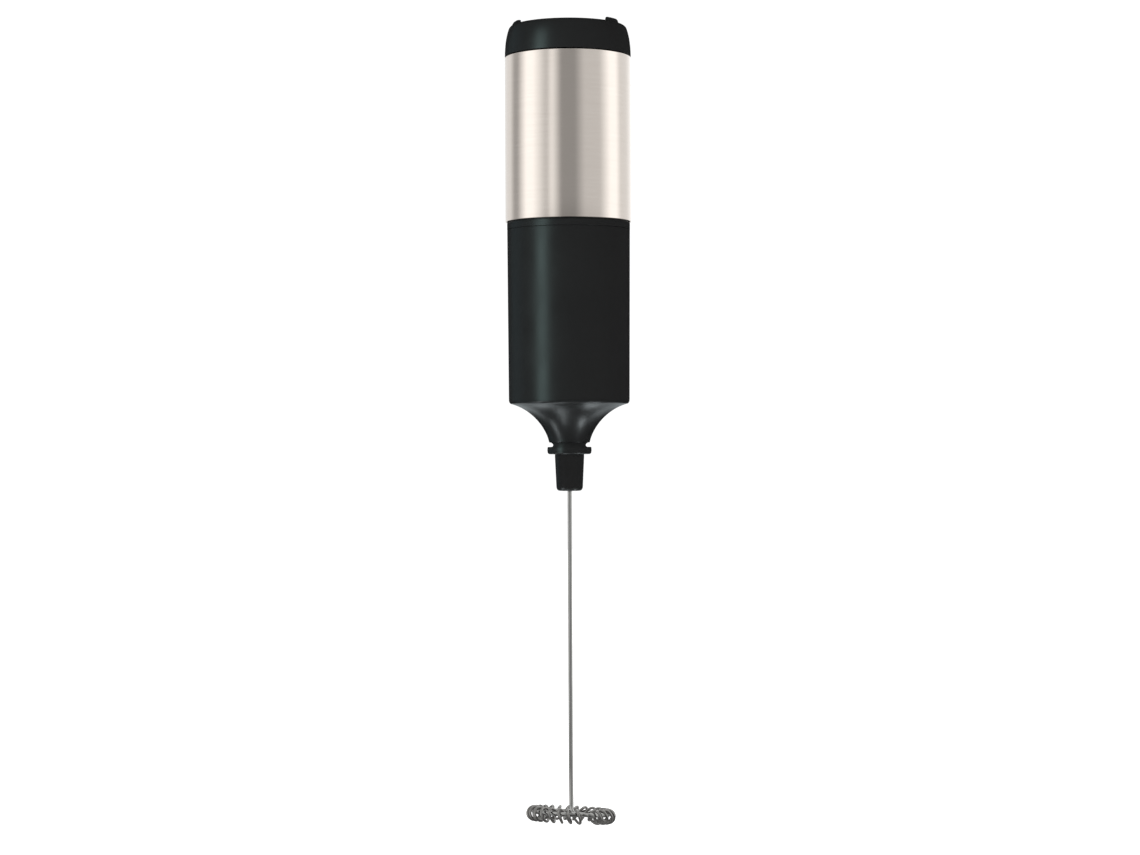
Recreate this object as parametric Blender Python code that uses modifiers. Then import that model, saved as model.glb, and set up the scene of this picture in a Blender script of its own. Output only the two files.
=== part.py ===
"""Milk frother: a battery handle with a pull-off steel cover, a push button in its cap, a small
motor in its lower housing, and a coiled-spring whisk on a long wire.

Lengths and places below are in millimetres; the helpers turn them into Blender's metres.
+Z is up, and the whisk hangs down. The origin is on the handle's axis, at the seam between
the steel cover and the black part.
"""
import math

import bmesh
import bpy
from mathutils import Matrix, Vector

MM = 0.001

# ---- driving dimensions -----------------------------------------------------------------
GAP = 0.3                    # clearance left between touching pieces

SLEEVE_RADIUS = 17.65        # outside of the steel
SLEEVE_WALL = 0.4
SLEEVE_TOP = 46.05
BAND_RADIUS = 17.18          # black band under the steel
BAND_BOTTOM = -2.0
TUBE_BORE = 15.9

CAP_RADIUS = 17.62
CAP_BOTTOM = 46.35
CAP_FLOOR = 54.8             # flat top of the cap
FOOT_TOP = 56.0              # three feet on its rim, to stand on upside down
FOOT_INNER = 13.9
FOOT_HALF_WIDTH = 2.4
FOOT_TURNS = (-35.0, 79.5, 194.0)    # degrees round Z from +X
CAP_CEILING = 53.2           # underside of the cap's top wall

HOUSING_TOP = BAND_BOTTOM - GAP
HOUSING_RADIUS_TOP = 17.16
HOUSING_RADIUS_BOTTOM = 16.9
HOUSING_BORE = 14.75
SPIGOT_RADIUS = 15.55        # collar of the housing that the battery tube slides over
SPIGOT_TOP = 5.0
CONE_BOTTOM = -61.5
NOSE_BORE = 3.15

COLLAR_BOTTOM = -64.75
COLLAR_RADIUS = 6.2

SHAFT_RADIUS = 1.0
SHAFT_BORE = SHAFT_RADIUS + GAP

CELL_RADIUS = 7.1
CELL_LENGTH = 50.2
CELL_X = CELL_RADIUS + 0.15
NUB_LENGTH = 1.3

CARRIER_BASE = (-15.8, -13.0)   # bottom and top of the carrier's lower disc
CARRIER_HEAD = (41.8, 43.6)     # and of its upper disc
CARRIER_SCREW_X = 4.6
CARRIER_SCREW_Y = 11.8

BUTTON_RADIUS = 7.5
BUTTON_STEM = 2.4
PLATE_TOP = 47.9             # plate that guides the button's stem
PLATE_BOTTOM = 46.9
SWITCH_SCREW_Y = 11.3
PAD_TOP = 44.3               # top of the two landing pads on the carrier

MOTOR_RADIUS = 10.0
MOTOR_FLAT = 7.55            # half the width across the motor's flats
MOTOR_FRONT = -50.5
MOTOR_REAR = -27.5
BEARING_RADIUS = 1.8
ROTOR_RADIUS = 5.9
ROTOR_SPAN = (-45.5, -34.5)
POLES = 3

HOLDER_TOP = COLLAR_BOTTOM - GAP
HOLDER_BOTTOM = -75.0
WIRE_RADIUS = 0.6
RING_HEIGHT = -165.2
RING_RADIUS = 10.5           # of the wire ring that the coil hangs on
RING_TILT_Y = 3.0            # degrees, right side down
RING_TILT_X = -6.5           # degrees, front up
SPOKE_TURN = -66.0           # degrees round Z from +X
COIL_RING_RADIUS = 10.45     # from the axis to the middle of the coil
COIL_DROP = 0.5              # the coil hangs this far below the ring
COIL_LEAN = 0.6              # sideways lean of its turns, per unit of height
COIL_RADIUS = 1.8            # from the middle of the coil to the middle of its wire
COIL_WIRE = 0.33
COIL_TURNS = 26

ROUND = 36                   # sides of the large round pieces
MEDIUM = 20
SMALL = 12

# colour, roughness, metallic
FINISHES = {
    "black_plastic": ((0.016, 0.016, 0.016), 0.35, 0.0),
    "steel": ((0.60, 0.58, 0.55), 0.3, 1.0),
    "wire_steel": ((0.45, 0.45, 0.44), 0.25, 1.0),
    "white_plastic": ((0.70, 0.70, 0.67), 0.5, 0.0),
    "rubber": ((0.03, 0.03, 0.03), 0.8, 0.0),
    "soft_black": ((0.02, 0.02, 0.02), 0.6, 0.0),
    "cell": ((0.05, 0.12, 0.25), 0.4, 0.0),
    "nickel": ((0.70, 0.67, 0.60), 0.25, 1.0),
    "brass": ((0.70, 0.50, 0.22), 0.3, 1.0),
    "copper": ((0.72, 0.33, 0.16), 0.35, 1.0),
    "bronze": ((0.45, 0.30, 0.16), 0.5, 1.0),
    "ferrite": ((0.05, 0.05, 0.055), 0.6, 0.0),
    "red_wire": ((0.55, 0.02, 0.02), 0.45, 0.0),
    "black_wire": ((0.02, 0.02, 0.02), 0.45, 0.0),
}


# ---- scene ------------------------------------------------------------------------------
def clear_scene():
    for old in list(bpy.data.objects):
        bpy.data.objects.remove(old, do_unlink=True)


def new_collection(name):
    collection = bpy.data.collections.new(name)
    bpy.context.scene.collection.children.link(collection)
    return collection


clear_scene()
PARTS = new_collection("milk_frother")
CUTTERS = new_collection("cutters")


def empty(name, parent=None, location=(0, 0, 0)):
    """A joint's frame: whatever moves on the joint is parented to it"""
    obj = bpy.data.objects.new(name, None)
    obj.empty_display_size = 0.01
    obj.location = Vector(location) * MM
    obj.parent = parent
    PARTS.objects.link(obj)
    return obj


HANDLE = empty("handle")
COVER = empty("cover_guide", HANDLE)
BUTTON = empty("button_guide", COVER)
ROTOR = empty("rotor_axis", HANDLE)


def paint(obj, finish):
    color, roughness, metallic = FINISHES[finish]
    mat = bpy.data.materials.new(obj.name)
    mat.use_nodes = True
    shader = mat.node_tree.nodes["Principled BSDF"]
    shader.inputs["Base Color"].default_value = (*color, 1.0)
    shader.inputs["Roughness"].default_value = roughness
    shader.inputs["Metallic"].default_value = metallic
    mat.diffuse_color = (*color, 1.0)
    obj.data.materials.append(mat)


def place(name, data, finish, parent, location=(0, 0, 0), turn=0.0):
    """Put new geometry in the scene: a part if it has a finish, otherwise a tool"""
    obj = bpy.data.objects.new(name, data)
    obj.location = Vector(location) * MM
    obj.rotation_euler = (0, 0, math.radians(turn))
    obj.parent = parent
    if finish:
        PARTS.objects.link(obj)
        paint(obj, finish)
    else:
        CUTTERS.objects.link(obj)
        obj.hide_render = True
        obj.display_type = "WIRE"
    return obj


# ---- modelling helpers ------------------------------------------------------------------
def turned(name, outline, finish=None, parent=None, location=(0, 0, 0), steps=ROUND):
    """A (radius, height) outline turned round Z. It runs down its outer side. An outline that
    starts and ends on the axis is left open, any other is closed into a ring."""
    on_axis = outline[0][0] == 0 and outline[-1][0] == 0
    count = len(outline)
    mesh = bpy.data.meshes.new(name)
    points = [(radius * MM, 0, height * MM) for radius, height in outline]
    edges = [(i, i + 1) for i in range(count - 1)]
    if not on_axis:
        edges.append((count - 1, 0))
    mesh.from_pydata(points, edges, [])
    obj = place(name, mesh, finish, parent, location)
    screw = obj.modifiers.new("turn", "SCREW")
    screw.steps = steps
    screw.render_steps = steps
    screw.use_merge_vertices = True
    screw.merge_threshold = 0.00001
    return obj


def tube(name, inner, outer, bottom, top, finish=None, parent=None, location=(0, 0, 0), steps=MEDIUM):
    outline = [(inner, top), (outer, top), (outer, bottom), (inner, bottom)]
    return turned(name, outline, finish, parent, location, steps)


def rod(name, radius, bottom, top, finish=None, parent=None, location=(0, 0, 0), steps=SMALL):
    """A solid cylinder along Z between two heights"""
    bm = bmesh.new()
    middle = Matrix.Translation((0, 0, (bottom + top) / 2 * MM))
    bmesh.ops.create_cone(bm, cap_ends=True, segments=steps, radius1=radius * MM, radius2=radius * MM,
                          depth=(top - bottom) * MM, matrix=middle)
    for face in bm.faces:
        face.smooth = len(face.verts) == 4
    mesh = bpy.data.meshes.new(name)
    bm.to_mesh(mesh)
    bm.free()
    return place(name, mesh, finish, parent, location)


def block(name, low, high, finish=None, parent=None, turn=0.0):
    """A box between two corners"""
    size = [(high[i] - low[i]) * MM for i in range(3)]
    middle = [(high[i] + low[i]) / 2 for i in range(3)]
    bm = bmesh.new()
    bmesh.ops.create_cube(bm, size=1.0, matrix=Matrix.Diagonal((*size, 1.0)))
    mesh = bpy.data.meshes.new(name)
    bm.to_mesh(mesh)
    bm.free()
    centre = Matrix.Rotation(math.radians(turn), 3, "Z") @ Vector(middle)
    return place(name, mesh, finish, parent, centre, turn)


def wire(name, points, radius, finish, parent=None):
    """A round wire through the points, closed at its ends"""
    curve = bpy.data.curves.new(name, "CURVE")
    curve.dimensions = "3D"
    curve.bevel_depth = radius * MM
    curve.bevel_resolution = 2
    curve.use_fill_caps = True
    spline = curve.splines.new("POLY")
    spline.points.add(len(points) - 1)
    for spot, point in zip(spline.points, points):
        spot.co = (*(Vector(point) * MM), 1.0)
    return place(name, curve, finish, parent)


def boolean(obj, tool, operation):
    modifier = obj.modifiers.new(tool.name, "BOOLEAN")
    modifier.operation = operation
    modifier.object = tool
    modifier.solver = "EXACT"
    return obj


def join(obj, *tools):
    for tool in tools:
        boolean(obj, tool, "UNION")
    return obj


def cut(obj, *tools):
    for tool in tools:
        boolean(obj, tool, "DIFFERENCE")
    return obj


def trim(obj, tool):
    return boolean(obj, tool, "INTERSECT")


def bezier(start, pull_start, pull_end, end, count):
    """Points along a cubic curve, both ends included"""
    points = []
    for i in range(count + 1):
        t = i / count
        u = 1 - t
        weights = (u ** 3, 3 * u * u * t, 3 * u * t * t, t ** 3)
        controls = (start, pull_start, pull_end, end)
        points.append(tuple(sum(w * c[k] for w, c in zip(weights, controls)) for k in range(2)))
    return points


def arc(centre, radius, from_angle, to_angle, count):
    """Points on a circle in the plane of the first two numbers, angles in degrees"""
    points = []
    for i in range(count + 1):
        angle = math.radians(from_angle + (to_angle - from_angle) * i / count)
        points.append((centre[0] + radius * math.cos(angle), centre[1] + radius * math.sin(angle)))
    return points


def helix(centre, radius, bottom, top, turns, per_turn=10):
    """Points up a coil round a vertical line"""
    points = []
    count = round(turns * per_turn)
    for i in range(count + 1):
        angle = 2 * math.pi * i / per_turn
        height = bottom + (top - bottom) * i / count
        points.append((centre[0] + radius * math.cos(angle), centre[1] + radius * math.sin(angle), height))
    return points


# ---- pull-off cover ---------------------------------------------------------------------
def make_sleeve():
    inner = SLEEVE_RADIUS - SLEEVE_WALL
    bottom = GAP / 2
    edge = 0.12
    turned("steel_sleeve", [
        (inner, SLEEVE_TOP), (SLEEVE_RADIUS - edge, SLEEVE_TOP), (SLEEVE_RADIUS, SLEEVE_TOP - edge),
        (SLEEVE_RADIUS, bottom + edge), (SLEEVE_RADIUS - edge, bottom), (inner, bottom),
    ], "steel", COVER)


def make_battery_tube():
    outer = SLEEVE_RADIUS - SLEEVE_WALL - GAP
    edge = 0.2
    turned("battery_tube", [
        (TUBE_BORE, SLEEVE_TOP), (outer, SLEEVE_TOP), (outer, -GAP / 2), (BAND_RADIUS, -GAP / 2),
        (BAND_RADIUS, BAND_BOTTOM + edge), (BAND_RADIUS - edge, BAND_BOTTOM),
        (TUBE_BORE + edge, BAND_BOTTOM), (TUBE_BORE, BAND_BOTTOM + edge),
    ], "black_plastic", COVER)


def make_cap():
    hole = BUTTON_RADIUS + GAP
    skirt = TUBE_BORE - GAP
    shoulder = (16.45, 54.2)
    rim = bezier((15.5, CAP_FLOOR), (15.95, CAP_FLOOR), (16.25, 54.6), shoulder, 3)
    side = bezier(shoulder, (17.2, 52.3), (CAP_RADIUS - 0.05, 49.8), (CAP_RADIUS, CAP_BOTTOM + 0.15), 5)
    outline = [(hole, CAP_FLOOR)] + rim + side[1:] + [
        (CAP_RADIUS - 0.15, CAP_BOTTOM), (skirt, CAP_BOTTOM), (skirt, 42.2), (skirt - 0.2, 42.0),
        (skirt - 0.8, 42.0), (skirt - 0.8, 46.6), (16.0, 48.0), (15.6, 51.4), (14.0, CAP_CEILING),
        (hole, CAP_CEILING),
    ]
    cap = turned("top_cap", outline, "black_plastic", COVER)
    foot_outline = [(FOOT_INNER, FOOT_TOP - 0.2), (FOOT_INNER + 0.2, FOOT_TOP), (14.8, FOOT_TOP),
                    (15.4, FOOT_TOP - 0.25), (15.85, CAP_FLOOR + 0.2), (15.7, CAP_FLOOR - 0.5),
                    (FOOT_INNER, CAP_FLOOR - 0.5)]
    for number, foot_turn in enumerate(FOOT_TURNS):
        foot = turned(f"foot_{number}", foot_outline, parent=COVER, steps=ROUND * 2)
        trim(foot, block(f"foot_width_{number}", (12.0, -FOOT_HALF_WIDTH, 50.0), (17.0, FOOT_HALF_WIDTH, 60.0),
                         parent=COVER, turn=foot_turn))
        join(cap, foot)
    for side_of_cap in (-1, 1):
        spot = (0, side_of_cap * SWITCH_SCREW_Y, 0)
        join(cap, rod(f"boss_{side_of_cap}", 2.2, PLATE_TOP + GAP, CAP_CEILING + 0.5, parent=COVER,
                      location=spot))
        cut(cap, rod(f"boss_hole_{side_of_cap}", 1.1, 47.0, 52.6, parent=COVER, location=spot))


def make_screw(name, head_radius, head, shank_end, location, parent):
    """A screw along Z: head is the head's two heights, the one next to the shank first"""
    shank_radius = 0.8
    seat, crown = head
    steps = 12
    rounded = 0.25 if crown > seat else -0.25
    outline = [(0, crown), (head_radius - 0.35, crown), (head_radius, crown - rounded), (head_radius, seat),
               (shank_radius, seat), (shank_radius, shank_end), (0, shank_end)]
    if crown < seat:
        outline.reverse()
    turned(name, outline, "nickel", parent, location, steps)


def make_switch():
    plate = tube("switch_plate", BUTTON_STEM + 0.35, 14.2, PLATE_BOTTOM, PLATE_TOP, "white_plastic", COVER,
                 steps=32)
    for number, side in ((1, -1), (2, 1)):
        spot = (0, side * SWITCH_SCREW_Y, 0)
        cut(plate, rod(f"plate_hole_{number}", 1.1, PLATE_BOTTOM - 1, PLATE_TOP + 1, parent=COVER,
                       location=spot))
        make_screw(f"switch_screw_{number}", 1.7, (PLATE_BOTTOM - GAP, PLATE_BOTTOM - GAP - 0.8), 51.8, spot,
                   COVER)
    coil = helix((0, 0), 3.5, PLATE_TOP + GAP + 0.25, 51.35, 3.0)
    wire("button_spring", coil, 0.25, "nickel", COVER)


def make_button():
    flange = (51.9, 52.9)
    stem_end = 46.9
    pin_radius = 1.5
    pin_end = 45.1
    crown = bezier((0, 55.6), (4.5, 55.55), (7.4, 55.4), (BUTTON_RADIUS, 54.2), 4)
    turned("power_button", crown + [
        (BUTTON_RADIUS, flange[1]), (8.7, flange[1]), (8.7, flange[0]), (BUTTON_STEM, flange[0]),
        (BUTTON_STEM, stem_end), (pin_radius, stem_end), (pin_radius, pin_end), (0, pin_end),
    ], "soft_black", BUTTON, steps=28)
    bridge_top = stem_end - GAP
    bridge_bottom = bridge_top - 0.5
    tube("bridge_contact", pin_radius + GAP, 6.5, bridge_bottom, bridge_top, "brass", BUTTON)
    tube("bridge_retainer", pin_radius + GAP, 2.7, bridge_bottom - GAP - 0.5, bridge_bottom - GAP, "nickel",
         BUTTON, steps=SMALL)


# ---- battery carrier --------------------------------------------------------------------
def make_carrier():
    base_bottom, base_top = CARRIER_BASE
    head_bottom, head_top = CARRIER_HEAD
    carrier = rod("battery_carrier", 14.45, base_bottom, base_top, "soft_black", HANDLE, steps=ROUND)
    head = rod("carrier_head", 14.35, head_bottom, head_top, parent=HANDLE, steps=ROUND)
    join(carrier, head)
    for side in (-1, 1):
        near, far = sorted((side * 8.7, side * 13.2))
        join(carrier, block(f"column_{side}", (-2, near, base_top - 0.5), (2, far, head_bottom + 0.5),
                            parent=HANDLE))
        join(carrier, rod(f"leg_{side}", 1.8, -26.7, base_bottom + 0.5, parent=HANDLE,
                          location=(-side * CARRIER_SCREW_X, side * CARRIER_SCREW_Y, 0)))
        cut(carrier, rod(f"screw_way_{side}", 1.1, base_bottom - 1, base_top + 0.4, parent=HANDLE,
                         location=(side * CARRIER_SCREW_X, side * CARRIER_SCREW_Y, 0)))
    cut(carrier, rod("clip_way", 3.0, head_bottom - 1, head_top + 1, parent=HANDLE))
    for name, x, span in (("slot_plate_a", -11.4, CARRIER_HEAD), ("slot_plate_b", 11.4, CARRIER_BASE)):
        low = (x - 0.6, -1.9, span[0] - 1)
        high = (x + 0.6, 1.9, span[1] + 1)
        cut(carrier, block(name, low, high, parent=HANDLE))
    for name, x, span in (("way_spring_a", -11.4, CARRIER_BASE), ("way_spring_b", 11.4, CARRIER_HEAD)):
        cut(carrier, rod(name, 0.7, span[0] - 1, span[1] + 1, parent=HANDLE, location=(x, 0, 0)))
    for number, side in ((1, 1), (2, -1)):
        make_screw(f"carrier_screw_{number}", 1.6, (base_top + GAP, base_top + GAP + 0.8), -20.6,
                   (side * CARRIER_SCREW_X, side * CARRIER_SCREW_Y, 0), HANDLE)


def make_cell(name, x, nub_up):
    """An AA cell: a can with a rounded edge, and the nub of its positive end"""
    half = CELL_LENGTH / 2
    shoulder = half - NUB_LENGTH
    outline = [(0, half), (2.5, half), (2.7, half - 0.2), (2.7, shoulder), (CELL_RADIUS - 0.4, shoulder),
               (CELL_RADIUS, shoulder - 0.4), (CELL_RADIUS, -half + 0.4), (CELL_RADIUS - 0.4, -half), (0, -half)]
    base_top = CARRIER_BASE[1]
    bottom = base_top + 3.5
    if not nub_up:
        outline = [(radius, -height) for radius, height in reversed(outline)]
        bottom = base_top + 1.1
    turned(name, outline, "cell", HANDLE, (x, 0, bottom + half), MEDIUM)


def half_ring(name, side, finish=None):
    """One of the two landing pads on the carrier, on the left (-1) or the right (1)"""
    pad = tube(name, 3.4, 7.2, PAD_TOP - 0.4, PAD_TOP, finish, HANDLE)
    low, high = sorted((-side * 9.0, side * 0.8))
    return cut(pad, block(f"{name}_parting", (low, -9, PAD_TOP - 1), (high, 9, PAD_TOP + 1), parent=HANDLE))


def strip(name, ends, half_width, bottom, top):
    low, high = sorted(ends)
    return block(name, (low, -half_width, bottom), (high, half_width, top), parent=HANDLE)


def make_contacts():
    thickness = 0.5
    tail = 0.25
    base_top = CARRIER_BASE[1]
    head_bottom = CARRIER_HEAD[0]
    riser = (11.15, 11.65)

    # positive end of cell A: a plate under the carrier's head, a riser through it, a pad on top
    top = head_bottom - GAP
    plate_a = half_ring("contact_plate_a", -1, "nickel")
    join(plate_a,
         strip("pad_strip_a", (-6.5, -riser[1]), 1.3, PAD_TOP - 0.4, PAD_TOP),
         strip("riser_a", (-riser[0], -riser[1]), 1.3, top - thickness, PAD_TOP - 0.1),
         strip("plate_strip_a", (-CELL_X, -riser[1] + 0.1), 1.3, top - thickness, top),
         rod("plate_disc_a", 3.5, top - thickness - 0.001, top + 0.001, parent=HANDLE,
             location=(-CELL_X, 0, 0)))

    # negative end of cell B: a coil under the head whose tail passes up to its own pad
    pad_b = half_ring("contact_pad_b", 1, "nickel")
    join(pad_b, strip("pad_strip_b", (6.5, 10.7), 1.3, PAD_TOP - 0.4, PAD_TOP))
    coil = helix((CELL_X, 0), 4.15, 38.9, head_bottom - GAP - tail, 3.0)
    wire("contact_spring_b", coil + [(11.4, 0, 42.0), (11.4, 0, PAD_TOP - 0.2)], tail, "nickel", HANDLE)

    # negative end of cell A: the same coil on the base, its tail passes down to the motor
    coil = helix((-CELL_X, 0), -4.15, -10.1, base_top + GAP + tail, 3.0)
    wire("contact_spring_a", coil + [(-11.4, 0, -13.4), (-11.4, 0, -17.5)], tail, "nickel", HANDLE)

    # positive end of cell B: a plate on the base with its tail down through it
    bottom = base_top + GAP
    plate_b = rod("contact_plate_b", 3.5, bottom, bottom + thickness, "nickel", HANDLE, (CELL_X, 0, 0))
    join(plate_b,
         strip("plate_strip_b", (CELL_X, riser[1] - 0.1), 1.3, bottom + 0.001, bottom + thickness - 0.001),
         strip("riser_b", riser, 1.3, -17.5, bottom + thickness - 0.05))


def make_leads():
    """Two short wires from the carrier's tails to the brush terminals"""
    for name, side, finish in (("lead_red", 1, "red_wire"), ("lead_black", -1, "black_wire")):
        start = Vector((side * 11.4, 0, -18.5))
        end = Vector((side * 5.2, side * 4.0, -21.2))
        pull_start = start + Vector((0, 0, -5.0))
        pull_end = end + Vector((side * 0.5, side * 4.5, 4.0))
        points = []
        count = 10
        for i in range(count + 1):
            t = i / count
            u = 1 - t
            points.append(u ** 3 * start + 3 * u * u * t * pull_start + 3 * u * t * t * pull_end + t ** 3 * end)
        wire(name, points, 0.45, finish, HANDLE)


# ---- housing and motor ------------------------------------------------------------------
def make_housing():
    bead = SPIGOT_RADIUS + 0.05
    edge = (16.3, -50.67)
    corner = bezier((HOUSING_RADIUS_BOTTOM, -49.5), (HOUSING_RADIUS_BOTTOM - 0.05, -50.1), (16.7, -50.5),
                    edge, 2)
    cone = bezier(edge, (10.77, -52.07), (6.61, -57.07), (5.72, CONE_BOTTOM + 0.1), 7)
    outline = [
        (HOUSING_BORE, SPIGOT_TOP), (SPIGOT_RADIUS - 0.3, SPIGOT_TOP), (SPIGOT_RADIUS - 0.05, SPIGOT_TOP - 0.4),
        (SPIGOT_RADIUS - 0.05, 3.4), (bead, 3.2), (bead, 2.6), (SPIGOT_RADIUS - 0.05, 2.4),
        (SPIGOT_RADIUS - 0.05, HOUSING_TOP), (HOUSING_RADIUS_TOP - 0.2, HOUSING_TOP),
        (HOUSING_RADIUS_TOP, HOUSING_TOP - 0.2),
    ] + corner + cone[1:] + [
        (5.5, CONE_BOTTOM), (NOSE_BORE, CONE_BOTTOM), (NOSE_BORE, -57.5), (5.2, -57.5), (5.2, -53.0),
        (6.5, -50.8), (11.2, -50.8), (HOUSING_BORE, -48.9),
    ]
    housing = turned("motor_housing", outline, "black_plastic", HANDLE)
    for side in (-1, 1):
        spot = (side * CARRIER_SCREW_X, side * CARRIER_SCREW_Y, 0)
        join(housing, rod(f"screw_boss_{side}", 2.5, -46.5, CARRIER_BASE[0] - GAP, parent=HANDLE,
                          location=spot))
        cut(housing, rod(f"screw_hole_{side}", 1.1, -21.5, CARRIER_BASE[0], parent=HANDLE, location=spot))


def make_nose():
    shank = NOSE_BORE - GAP
    top = CONE_BOTTOM - GAP
    collar = turned("nose_collar", [
        (SHAFT_BORE, -56.4), (4.2, -56.4), (4.4, -56.7), (4.4, -57.2), (shank, -57.2), (shank, top), (5.5, top),
        (5.75, top - 0.2), (6.12, -62.95), (COLLAR_RADIUS, -63.6), (6.1, -64.4), (5.75, COLLAR_BOTTOM),
        (SHAFT_BORE, COLLAR_BOTTOM),
    ], "black_plastic", HANDLE, steps=28)
    for side in (-1, 1):
        notch = rod(f"notch_{side}", 0.55, -9.0, 9.0, parent=HANDLE, location=(side * 5.1, 0, -62.2), steps=12)
        notch.rotation_euler = (math.radians(90), 0, 0)
        near, far = sorted((side * 5.1, side * 8.0))
        mouth = block(f"notch_mouth_{side}", (near, -9.0, -62.74), (far, 9.0, -61.0), parent=HANDLE)
        cut(collar, notch, mouth)
    tube("shaft_seal", SHAFT_BORE, 4.2, -56.1, -55.1, "rubber", HANDLE, steps=SMALL + 2)


def motor_outline(name, radius, flat, bottom, top, finish=None):
    """A cylinder with two flats, front and back"""
    body = rod(name, radius, bottom, top, finish, HANDLE, steps=32)
    slab = block(f"{name}_flats", (-radius - 1, -flat, bottom - 1), (radius + 1, flat, top + 1), parent=HANDLE)
    return trim(body, slab)


def solid_tool(name, radius, flat, bottom, top):
    """The same outline as one tool: the flats are cut before it is used"""
    bm = bmesh.new()
    limit = math.degrees(math.asin(flat / radius))
    right = arc((0, 0), radius, -limit, limit, 8)
    left = arc((0, 0), radius, 180 - limit, 180 + limit, 8)
    lower = [bm.verts.new((x * MM, y * MM, bottom * MM)) for x, y in right + left]
    face = bm.faces.new(lower)
    face.normal_flip()
    grown = bmesh.ops.extrude_face_region(bm, geom=[face])
    risen = [item for item in grown["geom"] if isinstance(item, bmesh.types.BMVert)]
    bmesh.ops.translate(bm, vec=(0, 0, (top - bottom) * MM), verts=risen)
    bmesh.ops.recalc_face_normals(bm, faces=bm.faces)
    mesh = bpy.data.meshes.new(name)
    bm.to_mesh(mesh)
    bm.free()
    return place(name, mesh, None, HANDLE)


def make_motor_case():
    wall = 0.7
    bore = BEARING_RADIUS + GAP
    can = motor_outline("motor_can", MOTOR_RADIUS, MOTOR_FLAT, MOTOR_FRONT, MOTOR_REAR, "nickel")
    join(can, rod("front_boss", 3.1, MOTOR_FRONT - 1.5, MOTOR_FRONT + 0.4, parent=HANDLE, steps=16))
    cut(can,
        solid_tool("can_room", MOTOR_RADIUS - wall, MOTOR_FLAT - wall, MOTOR_FRONT + 0.8, MOTOR_REAR + 1),
        rod("front_bore", bore, MOTOR_FRONT - 3, MOTOR_FRONT + 2, parent=HANDLE))
    bell_bottom = MOTOR_REAR + GAP
    bell = motor_outline("motor_end_bell", MOTOR_RADIUS, MOTOR_FLAT, bell_bottom, bell_bottom + 1.5,
                         "white_plastic")
    join(bell, rod("rear_boss", 2.9, bell_bottom + 1.1, bell_bottom + 3.0, parent=HANDLE, steps=16))
    cut(bell, rod("rear_bore", bore, bell_bottom - 1, bell_bottom + 4, parent=HANDLE))
    for side in (-1, 1):
        low, high = sorted((side * 4.0, side * 6.4))
        near, far = sorted((side * 2.2, side * 3.2))
        cut(bell, block(f"terminal_slot_{side}", (low, near, bell_bottom - 1), (high, far, bell_bottom + 3),
                        parent=HANDLE))
    for name, bottom, top in (("front_bearing", -51.9, -49.9), ("rear_bearing", -27.0, -24.6)):
        tube(name, SHAFT_BORE, BEARING_RADIUS, bottom, top, "bronze", HANDLE, steps=SMALL)


def make_magnets():
    """Two curved magnets that line the round sides of the can"""
    outer = MOTOR_RADIUS - 1.0
    inner = ROTOR_RADIUS + 0.6
    reach = 42.0
    for name, facing in (("magnet_right", 0.0), ("magnet_left", 180.0)):
        outline = arc((0, 0), outer, facing - reach, facing + reach, 8)
        outline += arc((0, 0), inner, facing + reach, facing - reach, 8)
        curve = bpy.data.curves.new(name, "CURVE")
        curve.dimensions = "2D"
        curve.fill_mode = "BOTH"
        curve.extrude = 7.0 * MM
        spline = curve.splines.new("POLY")
        spline.points.add(len(outline) - 1)
        spline.use_cyclic_u = True
        for spot, (x, y) in zip(spline.points, outline):
            spot.co = (x * MM, y * MM, 0, 1.0)
        place(name, curve, "ferrite", HANDLE, (0, 0, -40.0))


def make_brushes():
    """Two leaf springs beside the commutator, each with a terminal through the end bell"""
    for name, side in (("brush_right", 1), ("brush_left", -1)):
        near, far = sorted((side * 2.5, side * 2.9))
        leaf_low, leaf_high = sorted((side * -3.0, side * 6.0))
        leaf = block(name, (leaf_low, near, -30.9), (leaf_high, far, -28.9), "copper", HANDLE)
        tab_low, tab_high = sorted((side * 4.3, side * 6.1))
        join(leaf, block(f"{name}_tab", (tab_low, near - 0.001, -30.0), (tab_high, far + 0.001, -22.0),
                         parent=HANDLE))


def make_cradle():
    """Spool that holds the motor in the housing; the housing's two bosses run in its notches"""
    flange = HOUSING_BORE - GAP
    cradle = turned("motor_cradle", [
        (6.0, -27.0), (flange, -27.0), (flange, -28.3), (11.8, -28.3), (11.8, -46.4), (flange, -46.4),
        (flange, -47.6), (6.0, -47.6),
    ], "white_plastic", HANDLE, steps=36)
    cut(cradle, solid_tool("motor_room", MOTOR_RADIUS + GAP, MOTOR_FLAT + GAP, -50.0, -25.0))
    for side in (-1, 1):
        cut(cradle, rod(f"boss_notch_{side}", 2.8, -50.0, -25.0, parent=HANDLE,
                        location=(side * CARRIER_SCREW_X, side * CARRIER_SCREW_Y, 0)))


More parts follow.
